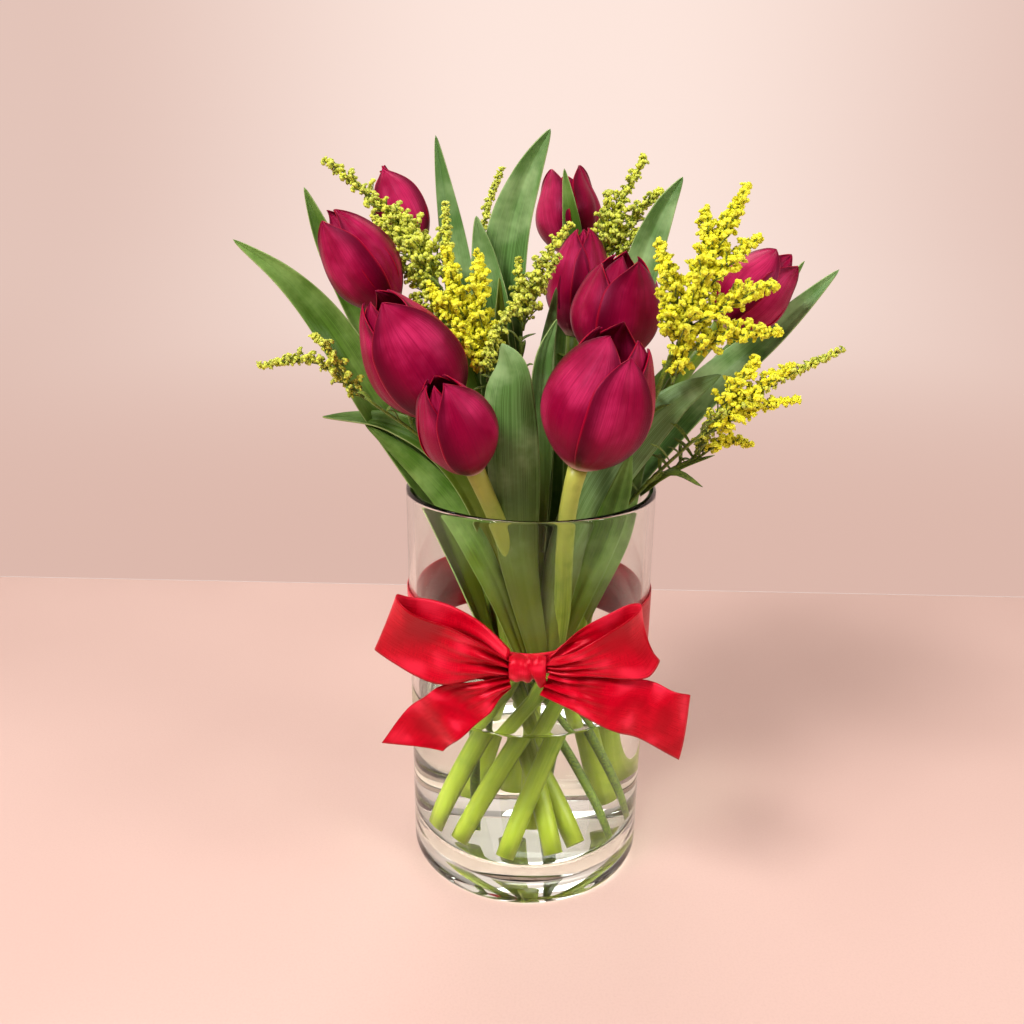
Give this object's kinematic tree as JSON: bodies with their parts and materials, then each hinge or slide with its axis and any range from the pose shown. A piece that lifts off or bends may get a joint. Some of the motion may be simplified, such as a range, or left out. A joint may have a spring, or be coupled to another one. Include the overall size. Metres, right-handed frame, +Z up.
{
  "type": "vase of tulips",
  "caption": "Bunch of dark pink tulips with sprays of goldenrod, standing in a clear glass cylinder vase of water with a red satin bow tied round it.",
  "frame": {"origin": "middle of the vase's flat underside, on the table", "axes": "+Z up; -Y is the front, where the bow is; +X is to the viewer's right"},
  "size_m": [0.282, 0.1627, 0.3593],
  "materials": {
    "glass": "clear polished soda-lime glass with a thick base",
    "water": "clear still water",
    "satin": "bright red single-faced satin ribbon with a soft sheen",
    "tulip_stem": "smooth juicy stem, yellow-green, paler towards the cut end",
    "petal": "silky dark magenta petal with fine lengthwise veins",
    "tulip_leaf": "waxy blue-green leaf with parallel veins and a pale edge",
    "goldenrod_stem": "thin woody green stem",
    "goldenrod_flower": "small fluffy bright yellow flower heads and yellow-green buds"
  },
  "bodies": {
    "root": {"vase": "glass", "water": "water", "ribbon_band": "satin", "ribbon_knot": "satin", "ribbon_loop_left": "satin", "ribbon_loop_right": "satin", "ribbon_tail_left": "satin", "ribbon_tail_right": "satin", "tulip_stem_01": "tulip_stem", "tulip_stem_02": "tulip_stem", "tulip_stem_03": "tulip_stem", "tulip_stem_04": "tulip_stem", "tulip_stem_05": "tulip_stem", "tulip_stem_06": "tulip_stem", "tulip_stem_07": "tulip_stem", "tulip_stem_08": "tulip_stem", "tulip_stem_09": "tulip_stem", "tulip_stem_10": "tulip_stem", "tulip_bloom_01": "petal", "tulip_bloom_02": "petal", "tulip_bloom_03": "petal", "tulip_bloom_04": "petal", "tulip_bloom_05": "petal", "tulip_bloom_06": "petal", "tulip_bloom_07": "petal", "tulip_bloom_08": "petal", "tulip_bloom_09": "petal", "tulip_bloom_10": "petal", "tulip_leaf_01": "tulip_leaf", "tulip_leaf_02": "tulip_leaf", "tulip_leaf_03": "tulip_leaf", "tulip_leaf_04": "tulip_leaf", "tulip_leaf_05": "tulip_leaf", "tulip_leaf_06": "tulip_leaf", "tulip_leaf_07": "tulip_leaf", "tulip_leaf_08": "tulip_leaf", "tulip_leaf_09": "tulip_leaf", "tulip_leaf_10": "tulip_leaf", "tulip_leaf_11": "tulip_leaf", "tulip_leaf_12": "tulip_leaf", "tulip_leaf_13": "tulip_leaf", "tulip_leaf_14": "tulip_leaf", "tulip_leaf_15": "tulip_leaf", "tulip_leaf_16": "tulip_leaf", "tulip_leaf_17": "tulip_leaf", "tulip_leaf_18": "tulip_leaf", "tulip_leaf_19": "tulip_leaf", "tulip_leaf_20": "tulip_leaf", "tulip_leaf_21": "tulip_leaf", "tulip_leaf_22": "tulip_leaf", "tulip_leaf_23": "tulip_leaf", "goldenrod_stem_left": "goldenrod_stem", "goldenrod_stem_middle": "goldenrod_stem", "goldenrod_stem_right": "goldenrod_stem", "goldenrod_stem_back": "goldenrod_stem", "goldenrod_spray_left": "goldenrod_flower", "goldenrod_spray_middle": "goldenrod_flower", "goldenrod_spray_right": "goldenrod_flower", "goldenrod_spray_back": "goldenrod_flower"}
  },
  "joints": []
}
